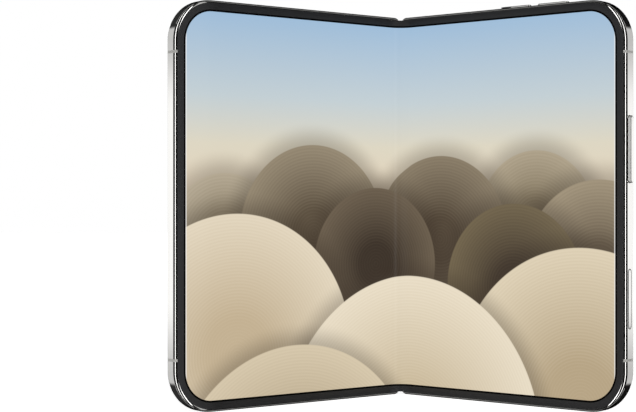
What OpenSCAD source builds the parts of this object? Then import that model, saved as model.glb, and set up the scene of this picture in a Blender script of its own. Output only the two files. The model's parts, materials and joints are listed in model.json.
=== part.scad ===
/* [Body] */
// Height of each half
body_h = 120.6; // [112:0.1:130]
// Width of each half, from the hinge centre to the free edge
half_w = 83.05; // [80:0.05:90]
// Thickness of each half
half_t = 4.7; // [4.7:0.1:5.2]
// Radius of the outer corners, seen from the front
corner_r = 12.5; // [10:0.5:14]
// Radius of the frame's edge beside the screen
front_r = 1.2; // [0.9:0.05:1.2]
// Radius of the frame's edge beside the rear glass
edge_r = 0.5; // [0.4:0.05:0.6]
// Width of the frame's rim beside the glass
rim_w = 0.8; // [0.7:0.05:0.95]
// Width of the frame's rail between the screen and the rear glass
rail_w = 1.9; // [1.7:0.05:2.1]
// Fold of each half away from flat, as the phone stands
rest_fold = 38.7; // [25:0.1:70]

/* [Screen] */
// Dark border beside the picture at the free edge
side_border = 3.5; // [3:0.1:5]
// Dark border above and below the picture
end_border = 3.4; // [2.3:0.05:3.5]
// Width of the bending strip on each side of the hinge centre
flex_w = 4.5; // [4:0.1:5]

/* [Hinge] */
// Distance of each fold axis from the hinge centre
axis_x = 0.5; // [0.5:0.05:0.6]
// Outer radius of the spine about the fold axes
spine_r = 3.5; // [3.4:0.02:3.52]
// Teeth on the ring of each sync arm, for a full circle
ring_teeth = 26; // [26:1:26]
// Teeth on each pinion
pinion_teeth = 8; // [8:1:8]
// Gear module
gear_m = 0.18; // [0.18:0.01:0.18]

/* [Camera] */
// Radius of the camera plateau's round ends
plateau_r = 11.5; // [10.5:0.1:12]
// Height of the plateau above the rear glass
plateau_h = 2.2; // [1.5:0.1:3]
// Lens centres below the top edge
lens_drop = 15; // [14:0.1:16]
// Lens centres from the free edge
lens_edges = [19.6, 38.3]; // [18:0.1:40]
// Outer radius of the lens rings
lens_ring_r = 8.5; // [8:0.1:9]
// Height of the lens rings above the plateau
lens_ring_h = 1.3; // [1:0.1:2]

/* [Keys] */
// Length of the power key
power_len = 19.6; // [15:0.1:22]
// Power key centre below the top edge
power_drop = 43.9; // [40:0.1:48]
// Length of the shutter key
shutter_len = 17.4; // [14:0.1:20]
// Shutter key centre below the top edge
shutter_drop = 87.15; // [84:0.1:92]
// Length of each volume key
volume_len = 10.8; // [9:0.1:11.5]
// Volume key centres from the hinge centre
volume_x = [43.45, 56.95]; // [42:0.05:60]
// Width of every key
key_w = 2; // [1.6:0.1:2.2]

/* [Hidden] */
$fn = 64;
e = 0.01;

// Depths in each half, from the screen side at 0 to the outside at half_t
bezel_y = 0.15;
panel_y = 0.55;
plate_y = 1.25;
glass_y = half_t - 0.7;
mid_y = half_t / 2;
flange_y = 2.2;

// Hinge, drawn with both halves flat
gap = 0.1;
axis_y = axis_x - gap;
cover_wall = 0.5;
base_r = spine_r - cover_wall;
cut_r = spine_r + 0.1;
roof = 1;
spine_z = [1.05, body_h - 1.05];
cap_h = 0.8;
cover_from = 15;
rail_x = 5.25;
flange_x = 9;
strip_x = 0.15;
nick_x = [0.7, 1.7];

// Hinge arms: a ring about the fold axis and a foot on the hinge rail
arm_r = [2.05, 2.85];
arm_slot = 0.06;
arm_from = 3;
arm_to = 172;
foot_x = 8.2;
foot_y = [0.6, 1.15];
screw_x = [5.4, 7.2];
arm_h = 4;
arm_rise = [3, 10];
base_h = 17;
base_y = 0.62;
base_low_z = 15;
base_high_z = body_h - 15 - base_h;
module_z = [base_low_z, base_high_z];
right_feet = [for (z = module_z) z + arm_rise[0]];
left_feet = [for (z = module_z) z + arm_rise[1]];
screw_r = 0.3;
screw_head_r = 0.5;
screw_head_h = 0.25;

// Sync gears in the middle of the spine
ring_r = ring_teeth * gear_m / 2;
pinion_r = pinion_teeth * gear_m / 2;
half_pitch = PI * gear_m / 4;
addendum = 0.83 * gear_m;
dedendum = 1.1 * gear_m;
ring_addendum = 0.65 * gear_m;
press_angle = 25;
washer_h = 0.08;
backlash = 0.02;
axle_r = 0.22;
axle_clear = 0.03;
wall_h = 0.8;
sector_h = 1.8;
mesh_h = 2;
play = 0.1;
gear_ratio = ring_teeth / pinion_teeth;
pinion_turn = acos((pinion_r - axis_x) / (ring_r - pinion_r));
pinion_y = axis_y + (ring_r - pinion_r) * sin(pinion_turn);
sync_h = 4 * wall_h + 2 * sector_h + mesh_h + 6 * play;
sync_z = (body_h - sync_h) / 2;
right_sector_z = sync_z + wall_h + play;
mesh_z = right_sector_z + sector_h + play + wall_h + play;
left_sector_z = mesh_z + mesh_h + play + wall_h + play;

// Rest pose: each half turns about its own fold axis
fold_sin = sin(rest_fold);
fold_cos = cos(rest_fold);
front_y = axis_y - (half_w - front_r - axis_x) * fold_sin + (front_r - axis_y) * fold_cos - front_r;
back_y = axis_y + (axis_x - strip_x) * fold_sin + (half_t - axis_y) * fold_cos;
rest_y = -(front_y + back_y) / 2;

// Bending strip as an arc between the two picture planes
flex_px = axis_x + (flex_w - axis_x) * fold_cos + (bezel_y - axis_y) * fold_sin;
flex_py = axis_y - (flex_w - axis_x) * fold_sin + (bezel_y - axis_y) * fold_cos;
flex_r = flex_px / fold_sin;
flex_cy = flex_py - flex_r * fold_cos;

// Camera
plateau_y = half_t + plateau_h;
lens_z = body_h - lens_drop;
plateau_x = [lens_edges[0], half_w - lens_edges[0]];
lens_x = [half_w - lens_edges[0], half_w - lens_edges[1]];
plateau_edge = 0.9;
plateau_fillet = 1;
plateau_lip = 0.05;
skirt_r = plateau_r - 0.6;
ring_low_y = plateau_y - 0.6;
lens_glass_r = lens_ring_r - 1.2;
lens_seat_r = lens_glass_r - 0.7;
lens_seat_y = plateau_y + 0.2;
lens_glass_h = 0.7;
module_r = 6.2;
flash_at = [28.3, body_h - 19.3];
flash_r = 2.2;
mic_at = [30.2, body_h - 10.4];
mic_r = 0.45;

// Blocks inside the halves, each by its low and its high corner
board_box = [[12, 1.95, 84], [79, 2.65, 96]];
board_holes = [14.5, 76.5];
board_hole_r = 0.8;
shield_x = [17, 37, 57];
shield_z = [85, 95];
shield_w = 16;
shield_top = 3.5;
coil_y = 3.6;
coil_at = [42, 54];
coil_r = [11, 21];
magnet_r = [23.4, 27];
right_cell = [[11, plate_y, 22], [76, coil_y, 82]];
left_cell = [[11, plate_y, 8], [76, coil_y, 84]];
speaker_box = [[19, plate_y, rail_w + 0.1], [36.5, coil_y, 18]];
motor_box = [[60, plate_y, 4], [71, coil_y, 16]];
left_board_box = [[12, plate_y, 88], [78, 2.3, 106]];
earpiece_box = [[20, plate_y, body_h - 12], [35.5, coil_y, body_h - rail_w - 0.1]];
cover_camera_at = [42, body_h - 8];
cover_camera_r = 2.2;
cover_camera_clear = 0.2;
module_half = 7;

// Switches behind the keys
switch_drop = 3.7;
switch_strip = 0.3;
switch_half = 0.7;
strip_half = 0.8;

// Keys
key_clear = 0.05;
key_flange = 0.4;
side_proud = 0.85;
top_proud = 0.5;
key_travel = 0.2;
power_z = body_h - power_drop;
shutter_z = body_h - shutter_drop;

// Bands, port and holes in the rails
band_h = 0.8;
band_z = [15.8, body_h - 15.8];
port_x = 41.9;
port_y = 2.45;
port_size = [8.84, 3.06];
port_wall = 0.25;
port_depth = 7.2;
port_recess = 0.35;
tongue_size = [6.6, 0.7];
tongue_z = 0.95;
speaker_x = [24:2.4:34];
low_mic_x = 53.2;
hole_r = 0.7;
small_hole_r = 0.35;

// ---- Placing ----

// Centres the standing phone front to back
module stand() {
  translate([0, rest_y, 0]) children();
}

// Turns a half drawn flat to its rest fold
module right_side() {
  stand() translate([axis_x, axis_y, 0]) rotate([0, 0, -rest_fold])
    translate([-axis_x, -axis_y, 0]) children();
}

// The same for the other half, which is drawn as its mirror image
module left_side() {
  mirror([1, 0, 0]) right_side() children();
}

// ---- Shared shapes of a half ----

// Stands an outline in x and z up between two depths
module slab(y_low, y_high) {
  translate([0, y_high, 0]) rotate([90, 0, 0]) linear_extrude(y_high - y_low) children();
}

// Outline of a half, square at the hinge and round at the free corners
module half_outline(inset, x_start, end_inset) {
  r = corner_r - max(inset, end_inset);
  x_end = half_w - inset;
  height = body_h - 2 * end_inset;
  translate([x_start, end_inset]) square([x_end - r - x_start, height]);
  translate([x_end - r, end_inset + r]) square([r, height - 2 * r]);
  for (z = [end_inset + r, end_inset + height - r]) translate([x_end - r, z]) circle(r = r);
}

// Sweeps a rail's section along the side, the corners and both ends
module rail_sweep(x_start) {
  run = half_w - corner_r;
  translate([half_w, 0, corner_r]) linear_extrude(body_h - 2 * corner_r) mirror([1, 0]) children();
  for (top = [0, 1]) translate([0, 0, top * body_h]) mirror([0, 0, top]) {
    translate([run, 0, corner_r]) rotate([-90, 0, 0])
      rotate_extrude(angle = 90) translate([corner_r, 0]) mirror([1, 0]) children();
    translate([run, 0, 0]) rotate([0, -90, 0]) linear_extrude(run - x_start) children();
  }
}

// Section of the rim: distance inwards from the edge, then depth
module rim_section() {
  intersection() {
    square([rim_w, half_t]);
    union() {
      translate([0, front_r]) square([rim_w, half_t - edge_r - front_r]);
      translate([front_r, front_r]) circle(r = front_r);
      translate([edge_r, half_t / 2]) square([rim_w, half_t / 2]);
      translate([edge_r, half_t - edge_r]) circle(r = edge_r);
    }
  }
}

// Section of the whole rail, with the shelf that the plates rest on
module rail_section() {
  rim_section();
  translate([edge_r, plate_y]) square([rail_w - edge_r, glass_y - plate_y]);
}

// Capsule centred at the origin, long in the first direction
module capsule(length, width) {
  square([length - width, width], center = true);
  for (side = [-1, 1]) translate([side * (length - width) / 2, 0]) circle(d = width);
}

// Cylinder through the thickness of a half
module bore_y(x, z, r, y_low, y_high) {
  translate([x, y_low, z]) rotate([-90, 0, 0]) cylinder(r = r, h = y_high - y_low);
}

// Box given by its two corners
module span(low, high) {
  translate(low) cube(high - low);
}

// Frame of either half: rails with thin roofs over the ends of the spine
module half_frame() {
  difference() {
    rail_sweep(nick_x[0]) rail_section();
    span([-1, -1, roof], [rail_x, half_t + 1, body_h - roof]);
    for (top = [0, 1]) translate([0, 0, top * body_h]) mirror([0, 0, top]) slab(-1, half_t + 1)
      polygon([[0, -1], [nick_x[1], -1], [nick_x[1], 0], [nick_x[0], roof + e], [0, roof + e]]);
    for (z = band_z)
      span([half_w - rim_w, -1, z - band_h / 2], [half_w + 1, half_t + 1, z + band_h / 2]);
  }
}

// Plastic bands that part the rim for the antennas
module antenna_bands() {
  for (z = band_z) translate([half_w, 0, z - band_h / 2])
    linear_extrude(band_h) mirror([1, 0]) rim_section();
}

// Everything that the spine sweeps, plus the opening between the halves
module spine_room() {
  translate([axis_x, axis_y, -1]) cylinder(r = cut_r, h = body_h + 2);
  span([-1, -1, -1], [1.2, glass_y + 0.03, body_h + 1]);
}

// Wall of a half along the hinge, hollowed for the spine
module hinge_rail(arm_feet, sync_foot) {
  difference() {
    union() {
      span([strip_x, panel_y, roof], [rail_x, half_t, body_h - roof]);
      span([rail_x - e, panel_y, rail_w + 0.2], [flange_x, flange_y, body_h - rail_w - 0.2]);
    }
    spine_room();
    for (z = arm_feet) foot_pocket(z, arm_h);
    foot_pocket(sync_foot, sector_h);
  }
}

// Pocket for an arm's foot, with its two screw holes
module foot_pocket(z, height) {
  span([0, -1, z - play], [foot_x + 0.05, foot_y[1], z + height + play]);
  for (x = screw_x) bore_y(x, z + height / 2, screw_r, 0, flange_y - 0.3);
}

// Wedge of a circle between two angles, past any radius in use
module wedge(from, to) {
  steps = 8;
  points = [for (i = [0:steps]) let (a = from + (to - from) * i / steps) 20 * [cos(a), sin(a)]];
  polygon(concat([[0, 0]], points));
}

// Arc band in the plan view
module arc_band(r_in, r_out, from, to) {
  intersection() {
    difference() {
      circle(r = r_out);
      circle(r = r_in);
    }
    wedge(from, to);
  }
}

// Foot of an arm, with seats for its screws
module arm_foot(z, height, x_from) {
  difference() {
    span([x_from, foot_y[0], z], [foot_x, foot_y[1], z + height]);
    for (x = screw_x) {
      bore_y(x, z + height / 2, screw_r, 0, 2);
      bore_y(x, z + height / 2, screw_head_r + key_clear, 0, foot_y[0] + screw_head_h);
    }
  }
}

// Arm that slides round the fold axis inside a hinge base
module hinge_arm(z) {
  translate([axis_x, axis_y, z]) linear_extrude(arm_h) arc_band(arm_r[0], arm_r[1], arm_from, arm_to);
  arm_foot(z, arm_h, axis_x + arm_r[0] + 0.2);
}

// ---- Gears ----

// Involute angle in degrees
function involute(a) = tan(a) * 180 / PI - a;

// Half the angle of a tooth at radius r, for a gear of pitch radius rp and half thickness t
function tooth_half(r, rp, t) =
  let (rb = rp * cos(press_angle), a = r > rb ? acos(rb / r) : 0)
  t / rp * 180 / PI + involute(press_angle) - involute(a);

// Outline of one tooth through the given radii, symmetric about the first direction
function tooth_points(radii, rp, t) = concat(
  [for (r = radii) tooth_point(r, -tooth_half(r, rp, t))],
  [for (i = [len(radii) - 1:-1:0]) tooth_point(radii[i], tooth_half(radii[i], rp, t))]
);

// Point at radius r and the given angle
function tooth_point(r, angle) = r * [cos(angle), sin(angle)];

// Pinion about the origin, with a tooth towards the given angle
module pinion_shape(phase) {
  root = pinion_r - dedendum;
  tip = pinion_r + addendum;
  radii = [for (i = [0:6]) root - 0.03 + (tip - root + 0.03) * i / 6];
  difference() {
    union() {
      circle(r = root);
      for (i = [0:pinion_teeth - 1]) rotate(phase + i * 360 / pinion_teeth)
        polygon(tooth_points(radii, pinion_r, half_pitch - backlash));
    }
    circle(r = axle_r + axle_clear);
  }
}

// Ring sector about the origin, with a tooth space towards the given angle
module ring_shape(phase) {
  root = ring_r + dedendum;
  tip = ring_r - ring_addendum;
  radii = [for (i = [0:6]) tip - 0.03 + (root - tip + 0.03) * i / 6];
  difference() {
    arc_band(tip, arm_r[1], arm_from, 180);
    for (i = [-8:9]) rotate(phase + i * 360 / ring_teeth)
      polygon(tooth_points(radii, ring_r, half_pitch + backlash));
  }
}

// Sync arm of either half, drawn as the right one
module sync_arm(z, phase) {
  difference() {
    translate([axis_x, axis_y, z]) linear_extrude(sector_h) ring_shape(phase);
    span([-9, -9, z - 1], [9, 0.2, z + sector_h + 1]);
  }
  arm_foot(z, sector_h, axis_x + arm_r[0] + 0.2);
}

// Space for an arm's ring inside a base, open over the whole fold
module ring_slot(r_in, z, height) {
  translate([axis_x, axis_y, z - play]) linear_extrude(height + 2 * play) difference() {
    circle(r = arm_r[1] + arm_slot);
    circle(r = r_in);
  }
}

// Solid inside of the spine, in plan
module spine_fill(r) {
  square([2 * axis_x, 2 * r], center = true);
  for (side = [-1, 1]) translate([side * axis_x, 0]) circle(r = r);
}

module base_block(z, height) {
  intersection() {
    translate([0, axis_y, z]) linear_extrude(height) spine_fill(base_r);
    span([-9, base_y, z - 1], [9, 9, z + height + 1]);
  }
}

// Base with one arm slot for each half
module arm_base(z) {
  difference() {
    base_block(z, base_h);
    ring_slot(arm_r[0] - arm_slot, z + arm_rise[0], arm_h);
    mirror([1, 0, 0]) ring_slot(arm_r[0] - arm_slot, z + arm_rise[1], arm_h);
    foot_ways(z + arm_rise[0], arm_h);
    mirror([1, 0, 0]) foot_ways(z + arm_rise[1], arm_h);
  }
}

// Way for a foot through the front of a base, at every fold
module foot_ways(z, height) {
  translate([axis_x, axis_y, z - play]) linear_extrude(height + 2 * play)
    arc_band(arm_r[0] - arm_slot, 9, -95, 16);
}

// ---- Spine ----

module spine_cover() {
  wall = [cos(cover_from), sin(cover_from)] * 20;
  color("whitesmoke") stand() difference() {
    translate([0, 0, spine_z[0]]) linear_extrude(spine_z[1] - spine_z[0]) intersection() {
      difference() {
        translate([0, axis_y]) spine_fill(spine_r);
        translate([0, axis_y]) spine_fill(base_r);
      }
      polygon([
        [-axis_x, axis_y], [axis_x, axis_y], [axis_x + wall[0], axis_y + wall[1]],
        [axis_x + wall[0], 30], [-axis_x - wall[0], 30], [-axis_x - wall[0], axis_y + wall[1]]
      ]);
    }
  }
}

module spine_end_caps() {
  color("dimgray") stand() for (z = [spine_z[0], spine_z[1] - cap_h]) base_block(z, cap_h);
}

module hinge_base_upper() {
  color("gray") stand() arm_base(base_high_z);
}

module hinge_base_lower() {
  color("gray") stand() arm_base(base_low_z);
}

module hinge_base_middle() {
  hole = pinion_r + addendum + 0.06;
  low_hole_z = right_sector_z - play;
  high_hole_z = left_sector_z + sector_h + play;
  low_axle_h = mesh_z + mesh_h + wall_h - sync_z;
  high_axle_h = sync_z + sync_h - mesh_z + wall_h;
  color("gray") stand() difference() {
    base_block(sync_z, sync_h);
    ring_slot(ring_r - gear_m - 0.04, right_sector_z, sector_h);
    mirror([1, 0, 0]) ring_slot(ring_r - gear_m - 0.04, left_sector_z, sector_h);
    foot_ways(right_sector_z, sector_h);
    mirror([1, 0, 0]) foot_ways(left_sector_z, sector_h);
    translate([pinion_r, pinion_y, low_hole_z]) cylinder(r = hole, h = mesh_z + mesh_h + play - low_hole_z);
    translate([-pinion_r, pinion_y, mesh_z - play]) cylinder(r = hole, h = high_hole_z - mesh_z + play);
    translate([pinion_r, pinion_y, sync_z - 1]) cylinder(r = axle_r, h = low_axle_h + 1);
    translate([-pinion_r, pinion_y, mesh_z - wall_h]) cylinder(r = axle_r, h = high_axle_h + 1);
  }
}

module pinion_axles() {
  color("silver") stand() {
    translate([pinion_r, pinion_y, sync_z])
      cylinder(r = axle_r, h = mesh_z + mesh_h + wall_h - sync_z);
    translate([-pinion_r, pinion_y, mesh_z - wall_h])
      cylinder(r = axle_r, h = sync_z + sync_h - mesh_z + wall_h);
  }
}

// Thin washers that drag on the pinions' ends and hold the fold where it is put
module friction_washers() {
  color("goldenrod") stand() {
    translate([pinion_r, pinion_y, right_sector_z - play]) washer();
    translate([pinion_r, pinion_y, mesh_z + mesh_h + play - washer_h]) washer();
    translate([-pinion_r, pinion_y, mesh_z - play]) washer();
    translate([-pinion_r, pinion_y, left_sector_z + sector_h + play - washer_h]) washer();
  }
}

module washer() {
  difference() {
    cylinder(r = pinion_r - dedendum, h = washer_h);
    translate([0, 0, -1]) cylinder(r = axle_r, h = 3);
  }
}

// Flexible middle of the folding screen
module screen_flex() {
  color("black") stand() translate([0, flex_cy, rim_w + 0.2])
    linear_extrude(body_h - 2 * rim_w - 0.4)
    arc_band(flex_r, flex_r + panel_y - bezel_y, 90 - rest_fold, 90 + rest_fold);
}

// Soft caps that carry the dark border across the hinge
module bezel_flex_caps() {
  color("dimgray") stand() for (z = [rim_w, body_h - end_border]) translate([0, flex_cy, z])
    linear_extrude(end_border - rim_w)
    arc_band(flex_r - bezel_y, flex_r, 90 - rest_fold, 90 + rest_fold);
}

module sync_pinion_right() {
  low = right_sector_z - play + washer_h;
  color("silver") stand() translate([pinion_r, pinion_y, low])
    linear_extrude(mesh_z + mesh_h + play - washer_h - low)
    pinion_shape(pinion_turn - rest_fold * gear_ratio);
}

// This pinion stands half a tooth from the mirror image of the other, so that the two mesh
module sync_pinion_left() {
  low = mesh_z - play + washer_h;
  color("silver") stand() mirror([1, 0, 0]) translate([pinion_r, pinion_y, low])
    linear_extrude(left_sector_z + sector_h + play - washer_h - low)
    pinion_shape(pinion_turn + 180 / pinion_teeth - rest_fold * gear_ratio);
}

// ---- Parts that both halves have ----

module screen_panel() {
  slab(bezel_y, panel_y) half_outline(rim_w + 0.2, flex_w, rim_w + 0.2);
}

module bezel() {
  slab(0, bezel_y) difference() {
    half_outline(rim_w, flex_w, rim_w);
    half_outline(side_border, flex_w - 1, end_border);
  }
}

module midplate() {
  slab(panel_y, plate_y) half_outline(rim_w + 0.02, flange_x, rim_w + 0.02);
}

module back_plate() {
  slab(glass_y, half_t) half_outline(rim_w, rail_x, rim_w);
}

module hinge_screws(feet, sync_foot) {
  for (z = concat([for (f = feet) f + arm_h / 2], [sync_foot + sector_h / 2])) for (x = screw_x) {
    bore_y(x, z, screw_head_r, foot_y[0], foot_y[0] + screw_head_h);
    bore_y(x, z, screw_r, foot_y[0] + screw_head_h - e, flange_y - 0.3);
  }
}

// ---- Right half ----

module side_key_slot(z, length) {
  translate([half_w - 3, mid_y, z]) rotate([0, 90, 0]) linear_extrude(5)
    capsule(length + 2 * key_clear, key_w + 2 * key_clear);
}

module top_key_slot(x) {
  translate([x, mid_y, body_h - 3]) linear_extrude(5)
    capsule(volume_len + 2 * key_clear, key_w + 2 * key_clear);
}

module right_frame() {
  color("whitesmoke") right_side() difference() {
    half_frame();
    side_key_slot(power_z, power_len);
    side_key_slot(shutter_z, shutter_len);
    for (x = volume_x) top_key_slot(x);
    translate([port_x, port_y, -1]) linear_extrude(4) capsule(port_size[0], port_size[1]);
    for (x = speaker_x) translate([x, mid_y, -1]) cylinder(r = hole_r, h = 4);
    translate([low_mic_x, mid_y, -1]) cylinder(r = small_hole_r, h = 4);
  }
}

module right_antenna_bands() {
  color("gainsboro") right_side() antenna_bands();
}

module right_hinge_rail() {
  color("whitesmoke") right_side() hinge_rail(right_feet, right_sector_z);
}

module right_hinge_arms() {
  color("gray") right_side() for (z = right_feet) hinge_arm(z);
}

module right_sync_arm() {
  color("gray") right_side() sync_arm(right_sector_z, pinion_turn);
}

module right_hinge_screws() {
  color("silver") right_side() hinge_screws(right_feet, right_sector_z);
}

module right_midplate() {
  color("silver") right_side() difference() {
    midplate();
    span([port_x - 5, plate_y - 0.35, 0], [port_x + 5, plate_y + 1, port_depth + 0.4]);
  }
}

module right_screen_panel() {
  color("lightsteelblue") right_side() screen_panel();
}

module right_bezel() {
  color("dimgray") right_side() bezel();
}

module rear_glass() {
  color("ivory") right_side() difference() {
    back_plate();
    slab(glass_y - 1, half_t + 1) plateau_outline(skirt_r);
  }
}

module plateau_outline(r) {
  low = min(plateau_x);
  high = max(plateau_x);
  translate([low, lens_z - r]) square([high - low, 2 * r]);
  for (x = plateau_x) translate([x, lens_z]) circle(r = r);
}

module camera_plateau() {
  low = min(plateau_x);
  high = max(plateau_x);
  color("ivory") right_side() difference() {
    union() {
      slab(glass_y, half_t + e) plateau_outline(skirt_r);
      for (x = plateau_x) translate([x, half_t, lens_z]) rotate([-90, 0, 0])
        rotate_extrude() plateau_section();
      for (side = [0, 1]) translate([high, half_t, lens_z]) mirror([0, 0, side]) rotate([0, -90, 0])
        linear_extrude(high - low) plateau_section();
    }
    for (x = lens_x) {
      bore_y(x, lens_z, lens_ring_r, ring_low_y, plateau_y + 1);
      bore_y(x, lens_z, module_r + 0.05, 0, plateau_y);
    }
    bore_y(flash_at[0], flash_at[1], flash_r, plateau_y - 1, plateau_y + 1);
    bore_y(mic_at[0], mic_at[1], mic_r, plateau_y - 1, plateau_y + 1);
  }
}

// Section of the plateau: distance from its centre line, then height over the rear glass
module plateau_section() {
  straight = plateau_r - plateau_edge;
  square([straight, plateau_h]);
  square([plateau_r, plateau_h - plateau_edge]);
  translate([straight - e, plateau_h - plateau_edge - e]) intersection() {
    circle(r = plateau_edge + e);
    square(plateau_edge + e);
  }
  translate([plateau_r - e, 0]) difference() {
    square([plateau_fillet + e, plateau_fillet + plateau_lip]);
    translate([plateau_fillet + e, plateau_fillet + plateau_lip]) circle(r = plateau_fillet);
  }
}

// Section of a lens ring: radius, then height over its seat
module lens_ring(x) {
  height = plateau_y - ring_low_y + lens_ring_h;
  seat = lens_seat_y - ring_low_y;
  right_side() translate([x, ring_low_y, lens_z]) rotate([-90, 0, 0]) rotate_extrude() polygon([
    [lens_seat_r, 0], [lens_ring_r, 0], [lens_ring_r, height - 0.5], [lens_ring_r - 0.5, height],
    [lens_glass_r + 0.2, height], [lens_glass_r, height - 0.2], [lens_glass_r, seat], [lens_seat_r, seat]
  ]);
}

module lens_glass(x) {
  right_side() bore_y(x, lens_z, lens_glass_r, lens_seat_y, lens_seat_y + lens_glass_h);
}

module camera_module(x) {
  right_side() {
    bore_y(x, lens_z, module_r, glass_y, lens_seat_y - 0.4);
    slab(plate_y, glass_y) translate([x, lens_z]) square(2 * module_half, center = true);
  }
}

module main_lens_ring() {
  color("silver") lens_ring(lens_x[0]);
}

module wide_lens_ring() {
  color("silver") lens_ring(lens_x[1]);
}

module main_lens_glass() {
  color("black") lens_glass(lens_x[0]);
}

module wide_lens_glass() {
  color("black") lens_glass(lens_x[1]);
}

module main_camera_module() {
  color("dimgray") camera_module(lens_x[0]);
}

module wide_camera_module() {
  color("dimgray") camera_module(lens_x[1]);
}

module flash_lens() {
  color("ivory") right_side() bore_y(flash_at[0], flash_at[1], flash_r, plateau_y - 1, plateau_y - 0.05);
}

// ---- Inside the right half ----

module logic_board() {
  color("darkgreen") right_side() difference() {
    span(board_box[0], board_box[1]);
    for (x = board_holes) bore_y(x, 90, board_hole_r, 0, glass_y);
  }
}

module shield_cans() {
  color("silver") right_side() {
    for (x = shield_x) {
      span([x, board_box[1][1], shield_z[0]], [x + shield_w, shield_top, shield_z[1]]);
      span([x, plate_y, shield_z[0]], [x + shield_w, board_box[0][1], shield_z[1]]);
    }
  }
}

module right_battery() {
  color("darkslategray") right_side() span(right_cell[0], right_cell[1]);
}

module charging_coil() {
  color("peru") right_side() slab(coil_y, glass_y) translate(coil_at) difference() {
    circle(r = coil_r[1]);
    circle(r = coil_r[0]);
  }
}

module magnet_ring() {
  color("gray") right_side() slab(coil_y, glass_y) translate(coil_at) difference() {
    circle(r = magnet_r[1]);
    circle(r = magnet_r[0]);
    translate([0, -magnet_r[1]]) square([6, 16], center = true);
  }
}

module usb_port() {
  inner = port_size - 2 * [port_wall, port_wall];
  color("silver") right_side() translate([port_x, port_y, port_recess]) {
    difference() {
      linear_extrude(port_depth - port_recess) capsule(port_size[0], port_size[1]);
      translate([0, 0, -1]) linear_extrude(port_depth) capsule(inner[0], inner[1]);
    }
  }
}

module usb_tongue() {
  end_z = port_depth - 1 + port_recess;
  color("dimgray") right_side() translate([port_x, port_y, (tongue_z + end_z) / 2])
    cube([tongue_size[0], tongue_size[1], end_z - tongue_z], center = true);
}

module loudspeaker() {
  color("dimgray") right_side() span(speaker_box[0], speaker_box[1]);
}

module vibration_motor() {
  color("silver") right_side() span(motor_box[0], motor_box[1]);
}

// Dome switches behind the keys, on one strip along the corner
module key_switches() {
  back_x = half_w - switch_drop;
  top_z = body_h - switch_drop;
  stem_x = half_w - rail_w - 0.05 - key_flange - key_travel - 0.05;
  stem_z = body_h - (half_w - stem_x);
  color("darkorange") right_side() {
    span([back_x - switch_strip, mid_y - strip_half, 25], [back_x, mid_y + strip_half, 85]);
    for (z = [power_z, shutter_z])
      span([back_x - e, mid_y - switch_half, z - 1.5], [stem_x, mid_y + switch_half, z + 1.5]);
    span([40, mid_y - strip_half, top_z - switch_strip], [64, mid_y + strip_half, top_z]);
    for (x = volume_x)
      span([x - 1.5, mid_y - switch_half, top_z - e], [x + 1.5, mid_y + switch_half, stem_z]);
  }
}

// ---- Keys ----

// Key about the origin: its outer face looks along the third direction, at the frame's surface
module key(length, proud) {
  rim = 0.15;
  inner = -rail_w - 0.05;
  translate([0, 0, inner - e]) linear_extrude(proud - rim - inner + e) capsule(length, key_w);
  translate([0, 0, proud - rim - e]) linear_extrude(rim + e) capsule(length - 2 * rim, key_w - 2 * rim);
  translate([0, 0, inner - key_flange]) linear_extrude(key_flange) capsule(length + 1, key_w);
}

module side_key(z, length, proud) {
  right_side() translate([half_w, mid_y, z]) rotate([0, 90, 0]) key(length, proud);
}

module top_key(x) {
  right_side() translate([x, mid_y, body_h]) key(volume_len, top_proud);
}

module power_key() {
  color("whitesmoke") side_key(power_z, power_len, side_proud);
}

module shutter_key() {
  color("whitesmoke") side_key(shutter_z, shutter_len, 0);
}

module volume_up_key() {
  color("whitesmoke") top_key(volume_x[0]);
}

module volume_down_key() {
  color("whitesmoke") top_key(volume_x[1]);
}

// ---- Left half ----

module left_frame() {
  color("whitesmoke") left_side() difference() {
    half_frame();
    for (x = speaker_x) translate([x, mid_y, body_h - 3]) cylinder(r = hole_r, h = 4);
  }
}

module left_antenna_bands() {
  color("gainsboro") left_side() antenna_bands();
}

module left_hinge_rail() {
  color("whitesmoke") left_side() hinge_rail(left_feet, left_sector_z);
}

module left_hinge_arms() {
  color("gray") left_side() for (z = left_feet) hinge_arm(z);
}

// The teeth stand half a pitch from the mirror image of the other arm's
module left_sync_arm() {
  color("gray") left_side() sync_arm(left_sector_z, pinion_turn + 180 / ring_teeth);
}

module left_hinge_screws() {
  color("silver") left_side() hinge_screws(left_feet, left_sector_z);
}

module left_midplate() {
  color("silver") left_side() midplate();
}

module left_screen_panel() {
  color("lightsteelblue") left_side() screen_panel();
}

module left_bezel() {
  color("dimgray") left_side() bezel();
}

module cover_glass() {
  color("black") left_side() back_plate();
}

module cover_display() {
  color("black") left_side() difference() {
    slab(coil_y, glass_y) half_outline(rail_w + 1, rail_x + 1, rail_w + 1);
    bore_y(cover_camera_at[0], cover_camera_at[1], cover_camera_r + cover_camera_clear, 0, half_t);
  }
}

module cover_camera() {
  color("dimgray") left_side()
    bore_y(cover_camera_at[0], cover_camera_at[1], cover_camera_r, plate_y, glass_y);
}

module earpiece() {
  color("dimgray") left_side() span(earpiece_box[0], earpiece_box[1]);
}

module left_battery() {
  color("darkslategray") left_side() span(left_cell[0], left_cell[1]);
}

module left_board() {
  color("darkgreen") left_side() span(left_board_box[0], left_board_box[1]);
}

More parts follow.
